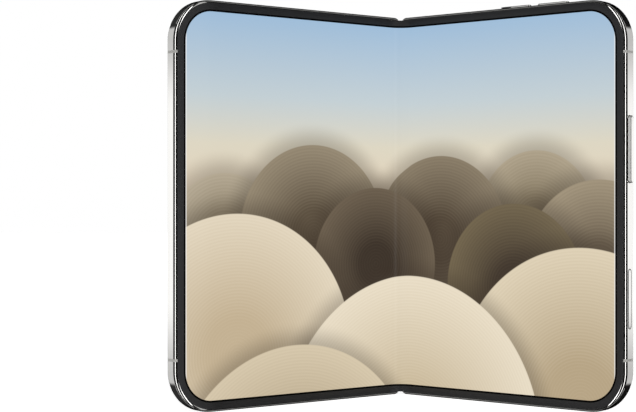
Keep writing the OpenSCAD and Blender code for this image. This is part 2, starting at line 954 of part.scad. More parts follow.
spine_cover();
spine_end_caps();
hinge_base_upper();
hinge_base_middle();
hinge_base_lower();
pinion_axles();
friction_washers();
screen_flex();
bezel_flex_caps();
sync_pinion_right();
sync_pinion_left();
right_frame();
right_antenna_bands();
right_hinge_rail();
right_hinge_arms();
right_sync_arm();
right_hinge_screws();
right_midplate();
right_screen_panel();
right_bezel();
rear_glass();
camera_plateau();
main_lens_ring();
main_lens_glass();
wide_lens_ring();
wide_lens_glass();
main_camera_module();
wide_camera_module();
flash_lens();
logic_board();
shield_cans();
right_battery();
charging_coil();
magnet_ring();
usb_port();
usb_tongue();
loudspeaker();
vibration_motor();
key_switches();
power_key();
shutter_key();
volume_up_key();
volume_down_key();
left_frame();
left_antenna_bands();
left_hinge_rail();
left_hinge_arms();
left_sync_arm();
left_hinge_screws();
left_midplate();
left_screen_panel();
left_bezel();
cover_glass();
cover_display();
cover_camera();
earpiece();
left_battery();
left_board();
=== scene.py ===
import json
import math

import bmesh
import bpy
from mathutils import Matrix, Vector


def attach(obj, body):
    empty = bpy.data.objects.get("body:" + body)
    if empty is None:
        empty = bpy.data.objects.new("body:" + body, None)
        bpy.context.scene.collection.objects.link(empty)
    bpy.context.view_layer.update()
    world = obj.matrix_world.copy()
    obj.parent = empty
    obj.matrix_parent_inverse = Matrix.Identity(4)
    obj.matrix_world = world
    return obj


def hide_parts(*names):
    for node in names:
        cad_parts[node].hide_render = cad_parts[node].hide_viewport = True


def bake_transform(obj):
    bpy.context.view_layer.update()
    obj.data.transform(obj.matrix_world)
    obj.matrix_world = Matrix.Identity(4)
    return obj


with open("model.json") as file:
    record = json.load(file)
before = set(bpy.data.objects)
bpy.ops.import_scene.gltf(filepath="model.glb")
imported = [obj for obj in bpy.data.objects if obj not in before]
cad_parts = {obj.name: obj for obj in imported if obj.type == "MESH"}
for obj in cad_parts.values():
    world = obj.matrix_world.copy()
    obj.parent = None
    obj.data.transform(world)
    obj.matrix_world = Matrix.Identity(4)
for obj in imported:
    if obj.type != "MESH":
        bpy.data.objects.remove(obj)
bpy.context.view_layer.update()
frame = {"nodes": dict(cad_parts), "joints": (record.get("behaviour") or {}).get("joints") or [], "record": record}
mm = 0.001

# what the phone is drawn from, in millimetres, in a half laid flat: x from the hinge, y from the screen side
body = {
    "height": 120.6, "halfWidth": 83.05, "thick": 4.7, "cornerRadius": 12.5, "rim": 0.8,
    "glassDepth": 4.0, "glassFit": 0.02, "glassEdge": 0.22,
}
hinge = {"gap": 0.1, "flexWidth": 4.5, "glassStart": 5.3}

foldJoint = [j for j in frame["joints"] if j["name"] == "right_fold"][0]
restFold = math.radians(-foldJoint["range_deg"][0])
axisX, axisRowY = (v / mm for v in foldJoint["pos_m"][:2])
axisY = axisX - hinge["gap"]

# a half laid flat, in millimetres, to its place in the standing phone, in metres
rightPose = (
    Matrix.Scale(mm, 4)
    @ Matrix.Translation((axisX, axisRowY, 0))
    @ Matrix.Rotation(-restFold, 4, "Z")
    @ Matrix.Translation((-axisX, -axisY, 0))
)
leftPose = Matrix.Scale(-1, 4, (1, 0, 0)) @ rightPose
poses = {"right": rightPose, "left": leftPose}
halfBody = {"right": "right_half", "left": "left_half"}


def finishPiece(name, bm, side=None, sharpAngle=32):
    if side:
        bmesh.ops.transform(bm, matrix=poses[side], verts=bm.verts)
    bmesh.ops.recalc_face_normals(bm, faces=bm.faces)
    mesh = bpy.data.meshes.new(name)
    bm.to_mesh(mesh)
    bm.free()
    mesh.polygons.foreach_set("use_smooth", [True] * len(mesh.polygons))
    mesh.set_sharp_from_angle(angle=math.radians(sharpAngle))
    piece = bpy.data.objects.new(name, mesh)
    bpy.context.scene.collection.objects.link(piece)
    return piece


def dress(piece, material, bodyName, slotName, *nodes):
    # gives a piece its finish and its body, and hides the solids that it stands for
    piece.data.materials.append(material)
    if bodyName:
        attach(piece, bodyName)
    if nodes:
        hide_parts(*nodes)


def roundedFace(bm, xRange, zRange, radius):
    # a flat face with its two outer corners rounded
    corners = ((xRange[0], zRange[0]), (xRange[1], zRange[0]), (xRange[1], zRange[1]), (xRange[0], zRange[1]))
    verts = [bm.verts.new((x, 0, z)) for x, z in corners]
    bm.faces.new(verts)
    bmesh.ops.bevel(
        bm, geom=verts[1:3], offset=radius, offset_type="OFFSET",
        segments=14, profile=0.5, affect="VERTICES", material=-1,
    )


def thicken(bm, yLow, yHigh):
    bmesh.ops.translate(bm, verts=bm.verts, vec=(0, yLow, 0))
    made = bmesh.ops.extrude_face_region(bm, geom=bm.faces[:])
    moved = [g for g in made["geom"] if isinstance(g, bmesh.types.BMVert)]
    bmesh.ops.translate(bm, verts=moved, vec=(0, yHigh - yLow, 0))
    bmesh.ops.recalc_face_normals(bm, faces=bm.faces)


def roundEdges(bm, radius, segments, chosen=None):
    limit = math.radians(40)
    edges = [
        e for e in bm.edges
        if len(e.link_faces) == 2 and e.calc_face_angle(0) > limit and (chosen is None or chosen(e))
    ]
    bmesh.ops.bevel(
        bm, geom=edges, offset=radius, offset_type="OFFSET", segments=segments, profile=0.5,
        affect="EDGES", material=-1, clamp_overlap=True,
    )


def atDepth(y):
    return lambda edge: all(abs(v.co.y - y) < 1e-4 for v in edge.verts)


def lathe(bm, profile, centre, steps):
    # profile: radius, then depth; it turns about the line through the thickness at centre (x, z)
    chain(bm, [(centre[0] + r, y, centre[1]) for r, y in profile])
    bmesh.ops.spin(
        bm, geom=bm.verts[:] + bm.edges[:], cent=(centre[0], 0, centre[1]), axis=(0, 1, 0),
        angle=math.tau, steps=steps, use_merge=True,
    )
    bmesh.ops.remove_doubles(bm, verts=bm.verts, dist=1e-5)


def chain(bm, points, closed=False):
    # edges from point to point
    verts = [bm.verts.new(point) for point in points]
    return [bm.edges.new(pair) for pair in zip(verts, verts[1:] + (verts[:1] if closed else []))]


def drawOut(bm, edges, by):
    # draws a chain of edges straight, and gives the chain at the far end
    made = bmesh.ops.extrude_edge_only(bm, edges=edges)["geom"]
    verts = [g for g in made if isinstance(g, bmesh.types.BMVert)]
    bmesh.ops.translate(bm, verts=verts, vec=by)
    return [g for g in made if isinstance(g, bmesh.types.BMEdge) and all(v in verts for v in g.verts)]


def turnRound(bm, edges, centre, axis, angle, steps):
    # turns a chain of edges about a line, and gives the chain at the far end
    verts = list(dict.fromkeys(v for e in edges for v in e.verts))
    made = bmesh.ops.spin(
        bm, geom=verts + edges, cent=centre, axis=axis, angle=angle, steps=steps, use_merge=False,
    )
    return [g for g in made["geom_last"] if isinstance(g, bmesh.types.BMEdge)]


def closeEnds(bm):
    # merges the doubles that drawing leaves, and caps each open end with one face
    bmesh.ops.remove_doubles(bm, verts=bm.verts, dist=1e-4)
    bmesh.ops.holes_fill(bm, edges=[e for e in bm.edges if e.is_boundary], sides=0)


def pillStack(bm, span, rings, steps=20):
    # rings: radius, then height; the profile turns round one end, runs back, and turns round the other
    edges = chain(bm, [(span / 2, -radius, height) for radius, height in rings])
    for end in (span / 2, -span / 2):
        edges = turnRound(bm, edges, (end, 0, 0), (0, 0, 1), math.pi, steps)
        edges = drawOut(bm, edges, (-2 * end, 0, 0))
    closeEnds(bm)


def arc(centre, radius, start, end, steps):
    # points of an arc in a profile, with angles in degrees
    turns = [math.radians(start + (end - start) * i / steps) for i in range(steps + 1)]
    return [(centre[0] + radius * math.cos(t), centre[1] + radius * math.sin(t)) for t in turns]


def placed(bm, along, across, rising, at):
    # turns local x, y and z to three directions of a flat half, and moves them to a point of it
    turn = Matrix((along, across, rising)).transposed().to_4x4()
    bmesh.ops.transform(bm, matrix=Matrix.Translation(at) @ turn, verts=bm.verts)


# the screen's middle lies on an arc that leaves each half along its picture plane
screen = {"face": 0.15, "back": 0.55, "rimGap": 0.2, "flexSteps": 18}
tangent = rightPose @ Vector((hinge["flexWidth"], screen["face"], 0))
flexRadius = tangent.x / mm / math.sin(restFold)
flexCentreY = tangent.y / mm - flexRadius * math.cos(restFold)


def bendOverHinge(bm, side):
    for i in range(1, screen["flexSteps"] + 1):
        bmesh.ops.bisect_plane(
            bm, geom=bm.verts[:] + bm.edges[:] + bm.faces[:], dist=1e-6,
            plane_co=(hinge["flexWidth"] * i / screen["flexSteps"], 0, 0), plane_no=(1, 0, 0),
        )
    mirror = -1 if side == "left" else 1
    for v in bm.verts:
        x, y, z = v.co
        if x < hinge["flexWidth"] - 1e-6:
            turn = restFold * x / hinge["flexWidth"]
            radius = flexRadius + y - screen["face"]
            place = Vector((radius * math.sin(turn), flexCentreY + radius * math.cos(turn), z)) * mm
            v.co = (place.x * mirror, place.y, place.z)
        else:
            v.co = poses[side] @ v.co


def bendPiece(piece):
    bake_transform(piece)


def toLinear(code):
    parts = [int(code[i:i + 2], 16) / 255 for i in (1, 3, 5)]
    return tuple(p / 12.92 if p <= 0.04045 else ((p + 0.055) / 1.055) ** 2.4 for p in parts) + (1.0,)


def addNode(tree, kind, settings=None, inputs=None):
    node = tree.nodes.new(kind)
    for key, value in (settings or {}).items():
        setattr(node, key, value)
    for key, value in (inputs or {}).items():
        if isinstance(value, bpy.types.NodeSocket):
            tree.links.new(value, node.inputs[key])
        else:
            node.inputs[key].default_value = value
    return node


def newMaterial(name, colour, **sockets):
    material = bpy.data.materials.new(name)
    material.use_nodes = True
    shader = material.node_tree.nodes["Principled BSDF"]
    shader.inputs["Base Color"].default_value = toLinear(colour)
    for key, value in sockets.items():
        shader.inputs[key.replace("_", " ")].default_value = value
    return material, shader


def grain(shader, size, depth, detail=3.0, stretch=(1, 1, 1)):
    # fine relief, with size and depth in millimetres
    tree = shader.id_data
    place = addNode(tree, "ShaderNodeTexCoord")
    turned = addNode(tree, "ShaderNodeMapping", inputs={"Vector": place.outputs["Object"], "Scale": stretch})
    noise = addNode(tree, "ShaderNodeTexNoise", inputs={
        "Vector": turned.outputs["Vector"], "Scale": 1 / (size * mm), "Detail": detail,
    })
    bump = addNode(tree, "ShaderNodeBump", inputs={
        "Height": noise.outputs["Fac"], "Distance": depth * mm, "Strength": 0.5,
    })
    tree.links.new(bump.outputs["Normal"], shader.inputs["Normal"])
    return noise


def varyRoughness(shader, noise, low, high):
    tree = shader.id_data
    spread = addNode(tree, "ShaderNodeMapRange", inputs={
        "Value": noise.outputs["Fac"], "From Min": 0.3, "From Max": 0.7, "To Min": low, "To Max": high,
    })
    tree.links.new(spread.outputs["Result"], shader.inputs["Roughness"])


def polishedSteel():
    # mirror-polished stainless steel: near-white reflections, black lines, the faintest wipe marks
    material, shader = newMaterial("mirrorPolishedSteel", "#F8F7F4", Metallic=1.0, Roughness=0.06)
    noise = grain(shader, 9.0, 0.0002, detail=2.0)
    varyRoughness(shader, noise, 0.045, 0.085)
    return material


def satinMetal(name, colour, rough, size=0.25):
    # machined, pressed or plated metal: soft highlights with a tool grain, drawn coarser than real to show
    material, shader = newMaterial(name, colour, Metallic=1.0, Roughness=rough)
    noise = grain(shader, size, 0.004, stretch=(1, 1, 0.08))
    varyRoughness(shader, noise, rough * 0.8, rough * 1.25)
    return material


def moulded(name, colour, rough, size=0.15, depth=0.006):
    # moulded polymer: a spark-eroded grain that breaks its highlights softly
    material, shader = newMaterial(name, colour, Roughness=rough, IOR=1.48)
    noise = grain(shader, size, depth)
    varyRoughness(shader, noise, rough * 0.9, rough * 1.15)
    return material


def glossGlass(name, colour, rough=0.03, coat=0.0):
    # polished glass over dark paint: deep, clean reflections
    material, shader = newMaterial(name, colour, Roughness=rough, IOR=1.52, Coat_Weight=coat)
    noise = grain(shader, 12.0, 0.0003, detail=1.0)
    varyRoughness(shader, noise, rough * 0.8, rough * 1.3)
    return material


def pearlGlass():
    # etched back glass over white paint: silky, a little bluish at grazing angles, no hard highlight
    material, shader = newMaterial(
        "etchedPearlGlass", "#F0EFEC", Roughness=0.32, IOR=1.52, Coat_Weight=0.25, Coat_Roughness=0.18,
    )
    noise = grain(shader, 0.12, 0.0012)
    varyRoughness(shader, noise, 0.28, 0.36)
    return material


# the picture on the lit screen: overlapping paper discs under a pale sky, sizes in tenths of a metre
picture = {
    "sky": [(0.0, "#EBD9BF"), (0.3, "#E3DCC8"), (0.55, "#C9D5DA"), (1.0, "#A3C2DF")],
    "skyRange": (0.62, 1.18),
    "discs": [
        # centre x, centre z, radius, rim colour, heart colour
        (-0.66, 0.50, 0.20, "#B9AD97", "#8D8069"),
        (0.52, 0.56, 0.21, "#B3A68E", "#857860"),
        (-0.34, 0.52, 0.27, "#9A8D77", "#5F5343"),
        (0.16, 0.50, 0.26, "#8D806B", "#54483A"),
        (0.74, 0.42, 0.26, "#A5977F", "#6C5F4D"),
        (-0.10, 0.42, 0.24, "#6F6251", "#3E342B"),
        (0.44, 0.36, 0.25, "#74674F", "#43382D"),
        (-0.62, 0.16, 0.42, "#E9DCC4", "#C9B697"),
        (0.68, 0.02, 0.46, "#E4D6BB", "#BBA888"),
        (0.04, -0.12, 0.50, "#EFE3CC", "#CDBC9D"),
        (-0.40, -0.28, 0.46, "#DCCDB1", "#B09E80"),
    ],
    "soft": 0.0015, "shadow": (0.075, -0.01, 0.42), "shadowTint": "#3A2F26", "heart": 0.25,
    "lineGap": 0.0095, "lineDepth": 0.07, "level": 0.94, "unlit": "#050505",
    "sideBorder": 3.5, "endBorder": 3.4, "corner": 9.0,
    "paintedEdgeHighlight": (0.42, 0.3, 0.6),  # where the painted highlight at the picture's edge starts and is full, and how bright it is
}


def litPicture():
    # plastic film over a lit panel: colours of its own, with a soft sheen on top
    material, shader = newMaterial(
        "foldingScreenFilm", "#000000", Roughness=0.3, IOR=1.45, Specular_IOR_Level=0.2,
    )
    tree = material.node_tree
    mapped = addNode(tree, "ShaderNodeAttribute", {"attribute_name": "pictureMap"}).outputs["Vector"]
    parts = addNode(tree, "ShaderNodeSeparateXYZ", inputs={"Vector": mapped})
    skyPart = addNode(tree, "ShaderNodeMapRange", inputs={
        "Value": parts.outputs["Y"], "From Min": picture["skyRange"][0], "From Max": picture["skyRange"][1],
    })
    sky = addNode(tree, "ShaderNodeValToRGB", inputs={"Fac": skyPart.outputs["Result"]})
    ramp = sky.color_ramp.elements
    while len(ramp) < len(picture["sky"]):
        ramp.new(0.5)
    for element, (place, colour) in zip(ramp, picture["sky"]):
        element.position = place
        element.color = toLinear(colour)
    colour = sky.outputs["Color"]
    outer, inner, strength = picture["shadow"]
    for x, z, radius, rimTint, heartTint in picture["discs"]:
        far = addNode(tree, "ShaderNodeVectorMath", {"operation": "DISTANCE"}, {
            0: mapped, 1: (x, z, 0),
        }).outputs["Value"]
        inside = addNode(tree, "ShaderNodeMapRange", inputs={
            "Value": far, "From Min": radius + picture["soft"], "From Max": radius - picture["soft"],
        }).outputs["Result"]
        shade = addNode(tree, "ShaderNodeMapRange", {"interpolation_type": "SMOOTHSTEP"}, {
            "Value": far, "From Min": radius + outer, "From Max": radius + inner, "To Max": strength,
        }).outputs["Result"]
        depth = addNode(tree, "ShaderNodeMapRange", inputs={
            "Value": far, "From Min": radius, "From Max": radius * picture["heart"],
        }).outputs["Result"]
        lines = addNode(tree, "ShaderNodeMath", {"operation": "SINE"}, {
            0: addNode(tree, "ShaderNodeMath", {"operation": "MULTIPLY"}, {
                0: far, 1: math.tau / picture["lineGap"],
            }).outputs["Value"],
        }).outputs["Value"]
        lined = addNode(tree, "ShaderNodeMath", {"operation": "MULTIPLY_ADD"}, {
            0: lines, 1: picture["lineDepth"], 2: depth,
        })
        disc = addNode(tree, "ShaderNodeMix", {"data_type": "RGBA"}, {
            "Factor": lined.outputs["Value"], 6: toLinear(rimTint), 7: toLinear(heartTint),
        }).outputs[2]
        shaded = addNode(tree, "ShaderNodeMix", {"data_type": "RGBA"}, {
            "Factor": shade, 6: colour, 7: toLinear(picture["shadowTint"]),
        }).outputs[2]
        colour = addNode(tree, "ShaderNodeMix", {"data_type": "RGBA"}, {
            "Factor": inside, 6: shaded, 7: disc,
        }).outputs[2]
    # black mask between the border and the picture, from the distance to the picture's rounded outline
    centred = addNode(tree, "ShaderNodeVectorMath", {"operation": "ABSOLUTE"}, {
        0: addNode(tree, "ShaderNodeVectorMath", {"operation": "SUBTRACT"}, {
            0: mapped, 1: (0, body["height"] / 200, 0),
        }).outputs["Vector"],
    }).outputs["Vector"]
    reach = (
        (body["halfWidth"] - picture["sideBorder"] - picture["corner"]) / 100,
        (body["height"] / 2 - picture["endBorder"] - picture["corner"]) / 100, 0,
    )
    past = addNode(tree, "ShaderNodeVectorMath", {"operation": "MAXIMUM"}, {
        0: addNode(tree, "ShaderNodeVectorMath", {"operation": "SUBTRACT"}, {0: centred, 1: reach}).outputs["Vector"],
        1: (0, 0, 0),
    }).outputs["Vector"]
    fromCorner = addNode(tree, "ShaderNodeVectorMath", {"operation": "LENGTH"}, {0: past}).outputs["Value"]
    lit = addNode(tree, "ShaderNodeMath", {"operation": "LESS_THAN"}, {
        0: fromCorner, 1: picture["corner"] / 100,
    }).outputs["Value"]
    # a painted highlight along the picture's two free sides, where the film's rolled edge would catch light: white
    # mixed into the picture's own glow
    start, full, bright = picture["paintedEdgeHighlight"]
    paintedEdgeHighlight = addNode(tree, "ShaderNodeMapRange", inputs={
        "Value": addNode(tree, "ShaderNodeSeparateXYZ", inputs={"Vector": past}).outputs["X"],
        "From Min": (picture["corner"] - start) / 100, "From Max": (picture["corner"] - full) / 100, "To Max": bright,
    }).outputs["Result"]
    colour = addNode(tree, "ShaderNodeMix", {"data_type": "RGBA"}, {
        "Factor": paintedEdgeHighlight, 6: colour, 7: (1, 1, 1, 1),
    }).outputs[2]
    masked = addNode(tree, "ShaderNodeMix", {"data_type": "RGBA"}, {
        "Factor": lit, 6: toLinear(picture["unlit"]), 7: colour,
    }).outputs[2]
    tree.links.new(masked, shader.inputs["Emission Color"])
    shader.inputs["Emission Strength"].default_value = picture["level"]
    return material


def blackInk():
    # printed black ink under the film: no highlight of its own
    material, shader = newMaterial("blackInk", "#020202", Roughness=0.7, Specular_IOR_Level=0.05)
    grain(shader, 0.1, 0.001)
    return material


def wovenGauze():
    # fine steel gauze, blackened: a pinprick pattern that hardly shines
    material, shader = newMaterial("blackenedGauze", "#2A2A2B", Metallic=0.8, Roughness=0.5)
    tree = material.node_tree
    place = addNode(tree, "ShaderNodeTexCoord").outputs["Object"]
    cells = addNode(tree, "ShaderNodeTexVoronoi", inputs={
        "Vector": place, "Scale": 1 / (0.14 * mm), "Randomness": 0.15,
    })
    shade = addNode(tree, "ShaderNodeValToRGB", inputs={"Fac": cells.outputs["Distance"]})
    shade.color_ramp.elements[0].color = toLinear("#050505")
    shade.color_ramp.elements[1].color = toLinear("#5A5A5C")
    tree.links.new(shade.outputs["Color"], shader.inputs["Base Color"])
    bump = addNode(tree, "ShaderNodeBump", inputs={
        "Height": cells.outputs["Distance"], "Distance": 0.03 * mm, "Strength": 0.6,
    })
    tree.links.new(bump.outputs["Normal"], shader.inputs["Normal"])
    return material


materials = {
    "polished_frame": polishedSteel(),
    "antenna_polymer": moulded("antennaBandPolymer", "#B9B8B4", 0.4, 0.4, 0.001),  # glass-filled, lapped smooth, grey
    "hinge_steel": satinMetal("machinedHingeSteel", "#8E8E8C", 0.35),  # grey with soft tool marks
    "gear_steel": satinMetal("sinteredGearSteel", "#A5A5A2", 0.4, 0.08),  # slightly porous, duller
    "bronze": satinMetal("phosphorBronze", "#B98A52", 0.35),  # rolled strip, warm brown
    "plate_aluminium": satinMetal("rolledAluminium", "#B9BABB", 0.4),  # bare sheet, pale and even
    "folding_screen": litPicture(),
    "screen_border": moulded("borderElastomer", "#222224", 0.55, 0.1, 0.004),  # matt soft lip, almost black
    "pearl_glass": pearlGlass(),
    "lens_ring_steel": polishedSteel(),
    "lens_glass": glossGlass("coatedLensGlass", "#0B0B0E", 0.02, 1.0),  # deep black with a clean highlight
    "flash_diffuser": moulded("flashDiffuser", "#EDE3C4", 0.35, 0.3, 0.01),  # milky yellow-white resin
    "circuit_board": moulded("solderResist", "#123A26", 0.4),  # dark green lacquer
    "shield_steel": satinMetal("pressedShieldSteel", "#ACACAA", 0.3),  # tinned cans, fairly bright
    "battery_pouch": moulded("batteryPouchFilm", "#17181A", 0.45, 0.6, 0.01),  # black film, faintly wavy
    "coil_copper": satinMetal("enamelledCopper", "#B4683C", 0.3),  # wound wire under clear enamel
    "magnet_nickel": satinMetal("nickelPlate", "#A6A5A0", 0.25),  # plated, warm grey
    "flex_circuit": moulded("polyimideFilm", "#A8641B", 0.35),  # amber film
    "dark_polymer": moulded("darkPolymer", "#1B1B1C", 0.5),  # moulded black parts and seals
    "cover_glass": glossGlass("coverGlassOverBlack", "#060607", 0.025, 0.6),  # a black mirror
    "cover_panel": moulded("coverPanel", "#0C0C0D", 0.4),  # unlit display
    "black_ink": blackInk(),
    "gauze": wovenGauze(),
    "gold_plate": satinMetal("goldPlate", "#D9AE5C", 0.22, 0.1),  # thin plating on the contacts
}
for row in frame["record"]["subparts"]:
    cadMesh = frame["nodes"][row["node"]].data
    cadMesh.materials.clear()
    cadMesh.materials.append(materials[row["material_slot"]])
print("materials done")


view = {"distance": 499.0, "lens": 88.09, "shiftX": -0.1296, "height": 60.3}
cameraData = bpy.data.cameras.new("viewCamera")
cameraData.lens = view["lens"]
cameraData.shift_x = view["shiftX"]
cameraData.clip_start = 0.01
viewCamera = bpy.data.objects.new("viewCamera", cameraData)
viewCamera.location = Vector((0, axisRowY - view["distance"], view["height"])) * mm
viewCamera.rotation_euler = (math.pi / 2, 0, 0)
bpy.context.scene.collection.objects.link(viewCamera)
bpy.context.scene.camera = viewCamera
bpy.context.scene.view_settings.view_transform = "Standard"


ground = {"size": 3.0, "level": 0.9}  # half its width in metres, and how bright it is of itself


def makeGround():
    bm = bmesh.new()
    bmesh.ops.create_grid(bm, x_segments=1, y_segments=1, size=ground["size"])
    piece = finishPiece("ground", bm)
    material, shader = newMaterial("paleGround", "#F7F7F6", Roughness=0.6)
    shader.inputs["Emission Color"].default_value = (1, 1, 1, 1)
    shader.inputs["Emission Strength"].default_value = ground["level"]
    piece.data.materials.append(material)
    piece.visible_glossy = False


studio = {
    # where the white room ends and the dark front begins, as -y over |x| of a direction
    "front": (-0.32, -0.22), "dark": 0.012,
    # a faint light from the left
    "left": (0.0, -0.6), "leftFill": 0.02,
    # tall lights each side of the camera, which draw the bright line on the rims, and how high they reach
    "strip": (1.2, 1.35, 1.75, 2.0), "stripLevel": 3.0, "stripEnds": (0.88, 0.98),
    # how the room darkens straight above and below, and how high it stays full white in reflections
    "ceiling": (0.62, 0.85), "ceilingLevel": 0.35, "band": (0.06, 0.105), "bandLevel": 0.55,
    # a dark card straight behind the phone, which draws the walls' rear edge
    "rear": (-2.3, -1.7),
    # dark flags that end the walls' white at the corners: their directions, then inner and outer angle
    "flags": [(x, 0.74, z) for z in (0.5, -0.5) for x in (0.46, -0.46)], "flagAngles": (25, 30),
}


def makeWorld():
    # a white room behind the phone and a dark one in front, drawn for the lines in the polished rims
    world = bpy.data.worlds.new("studio")
    bpy.context.scene.world = world
    world.use_nodes = True
    tree = world.node_tree
    background = tree.nodes["Background"]
    background.inputs["Color"].default_value = (1, 1, 1, 1)
    direction = addNode(tree, "ShaderNodeTexCoord").outputs["Generated"]
    path = addNode(tree, "ShaderNodeLightPath")
    parts = addNode(tree, "ShaderNodeSeparateXYZ", inputs={"Vector": direction})
    sideways = addNode(tree, "ShaderNodeMath", {"operation": "ABSOLUTE"}, {0: parts.outputs["X"]})
    height = addNode(tree, "ShaderNodeMath", {"operation": "ABSOLUTE"}, {0: parts.outputs["Z"]}).outputs["Value"]
    across = addNode(tree, "ShaderNodeMath", {"operation": "MAXIMUM"}, {0: sideways.outputs["Value"], 1: 0.0001})
    ahead = addNode(tree, "ShaderNodeMath", {"operation": "MULTIPLY"}, {0: parts.outputs["Y"], 1: -1.0})
    forward = addNode(tree, "ShaderNodeMath", {"operation": "DIVIDE"}, {
        0: ahead.outputs["Value"], 1: across.outputs["Value"],
    }).outputs["Value"]
    bandLevel = addNode(tree, "ShaderNodeMapRange", inputs={
        "Value": path.outputs["Is Glossy Ray"], "To Min": 1.0, "To Max": studio["bandLevel"],
    }).outputs["Result"]

    # each fade is a measure of the direction, where it starts and ends, and its level at both
    dark = studio["dark"]
    room = [(forward, *studio["front"], 1.0, dark), (forward, *studio["rear"], dark, 1.0)]
    near, far = (math.cos(math.radians(angle)) for angle in studio["flagAngles"])
    for flag in studio["flags"]:
        facing = addNode(tree, "ShaderNodeVectorMath", {"operation": "DOT_PRODUCT"}, {
            0: direction, 1: Vector(flag).normalized(),
        }).outputs["Value"]
        room.append((facing, near, far, dark, 1.0))
    room += [(height, *studio["band"], 1.0, bandLevel), (height, *studio["ceiling"], 1.0, studio["ceilingLevel"])]
    start, full, fading, end = studio["strip"]
    strip = [(forward, start, full, 0.0, studio["stripLevel"]), (forward, fading, end, 1.0, 0.0)]
    strip += [(height, *studio["stripEnds"], 1.0, 0.0)]
    fill = [(parts.outputs["X"], *studio["left"], 0.0, studio["leftFill"])]
    total = 0.0
    for fades, joining in ((room, "ADD"), (strip, "MAXIMUM"), (fill, "ADD")):
        level = 1.0
        for measure, low, high, atLow, atHigh in fades:
            fade = addNode(tree, "ShaderNodeMapRange", {"interpolation_type": "SMOOTHSTEP"}, {
                "Value": measure, "From Min": low, "From Max": high, "To Min": atLow, "To Max": atHigh,
            }).outputs["Result"]
            level = addNode(tree, "ShaderNodeMath", {"operation": "MULTIPLY"}, {0: level, 1: fade}).outputs["Value"]
        total = addNode(tree, "ShaderNodeMath", {"operation": joining}, {0: total, 1: level}).outputs["Value"]
    final = addNode(tree, "ShaderNodeMix", {"data_type": "FLOAT"}, {
        "Factor": path.outputs["Is Camera Ray"], 2: total, 3: 1.0,
    })
    tree.links.new(final.outputs[0], background.inputs["Strength"])


card = {"centre": (-26.5, -62.3, 64.0), "width": 91.6, "height": 170.0, "turn": 121, "level": 0.5}  # sizes in mm


def makeCard():
    # a grey card beside the phone, seen in polished metal only: it lights the keys' front walls
    bm = bmesh.new()
    place = (
        Matrix.Scale(mm, 4) @ Matrix.Translation(card["centre"])
        @ Matrix.Rotation(math.radians(card["turn"]), 4, "Z") @ Matrix.Rotation(math.pi / 2, 4, "X")
        @ Matrix.Diagonal((card["width"], card["height"], 1, 1))
    )
    bmesh.ops.create_grid(bm, x_segments=1, y_segments=1, size=0.5, matrix=place)
    piece = finishPiece("greyCard", bm)
    material, shader = newMaterial("greyCardPaper", "#000000", Roughness=1.0)
    shader.inputs["Emission Color"].default_value = (1, 1, 1, 1)
    shader.inputs["Emission Strength"].default_value = card["level"]
    piece.data.materials.append(material)
    piece.visible_camera = False
    piece.visible_diffuse = False
    piece.visible_shadow = False


makeGround()
makeCard()
makeWorld()
print("camera, light and ground done")


def screenSheet(side):
    # one half of the folding screen, with the picture's map in tenths of a metre
    inset = body["rim"] + screen["rimGap"]
    bm = bmesh.new()
    roundedFace(bm, (0, body["halfWidth"] - inset), (inset, body["height"] - inset), body["cornerRadius"] - inset)
    thicken(bm, screen["face"], screen["back"])
    mapLayer = bm.verts.layers.float_vector.new("pictureMap")
    sign = -1 if side == "left" else 1
    for v in bm.verts:
        v[mapLayer] = Vector((sign * v.co.x / 100, v.co.z / 100, 0))
    for face in bm.faces:
        face.material_index = int(any(v.co.y > screen["face"] + 1e-4 for v in face.verts))
    bendOverHinge(bm, side)
    return finishPiece(f"foldingScreen_{side}", bm)


for side in ("right", "left"):
    piece = screenSheet(side)
    dress(piece, materials["folding_screen"], None, "folding_screen", f"{side}_screen_panel")
    piece.data.materials.append(materials["black_ink"])  # its back and edges
    bendPiece(piece)
    if side == "right":
        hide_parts("screen_flex")
print("screen done")


border = {
    "edge": 0.78, "side": 2.88, "end": 2.85, "soft": 0.06, "nick": 0.3, "nickEnds": (0.9, 1.9),
    "marginLap": (0.04, 0.01),  # how far the black margin lies below and above the screen's face
}


def halfPath(inset, endInset, radius, dip=0.0, segments=16):
    # outline of a half, from the hinge along the lower end, up the free side and back along the upper end
    xEnd = body["halfWidth"] - inset - radius
    low, high = endInset + radius, body["height"] - endInset - radius
    turns = [math.pi / 2 * i / segments for i in range(segments + 1)]
    lower = [(xEnd + radius * math.sin(t), low - radius * math.cos(t)) for t in turns]
    upper = [(xEnd + radius * math.cos(t), high + radius * math.sin(t)) for t in turns]
    near, far = border["nickEnds"]
    bottom = [(0.0, endInset + dip), (near, endInset + dip), (far, endInset)]
    top = [(x, body["height"] - z) for x, z in reversed(bottom)]
    return bottom + lower + upper + top


def framedStrip(name, side, outer, inner, low, high, soft=0.0):
    bm = bmesh.new()
    edges = [edge for path in (outer, inner) for edge in chain(bm, [(x, 0, z) for x, z in path])]
    bmesh.ops.bridge_loops(bm, edges=edges)
    thicken(bm, low, high)
    if soft:
        onFace = atDepth(low)
        roundEdges(bm, soft, 2, lambda edge: onFace(edge) and max(v.co.x for v in edge.verts) > 0.01)
    bendOverHinge(bm, side)
    return finishPiece(f"{name}_{side}", bm)


def makeBorder(side):
    inner = halfPath(border["side"], border["end"], body["cornerRadius"] - border["side"])
    outer = halfPath(border["edge"], body["rim"], body["cornerRadius"] - border["edge"], border["nick"])
    strip = framedStrip("screenBorder", side, outer, inner, 0.0, screen["face"], border["soft"])
    nodes = [f"{side}_bezel"] + (["bezel_flex_caps"] if side == "right" else [])
    dress(strip, materials["screen_border"], None, "screen_border", *nodes)
    bendPiece(strip)
    # unlit black margin between the border and the picture
    edge = halfPath(picture["sideBorder"], picture["endBorder"], picture["corner"])
    below, above = border["marginLap"]
    margin = framedStrip("screenMargin", side, inner, edge, screen["face"] - below, screen["face"] + above)
    dress(margin, materials["black_ink"], None, "dark_polymer")
    bendPiece(margin)


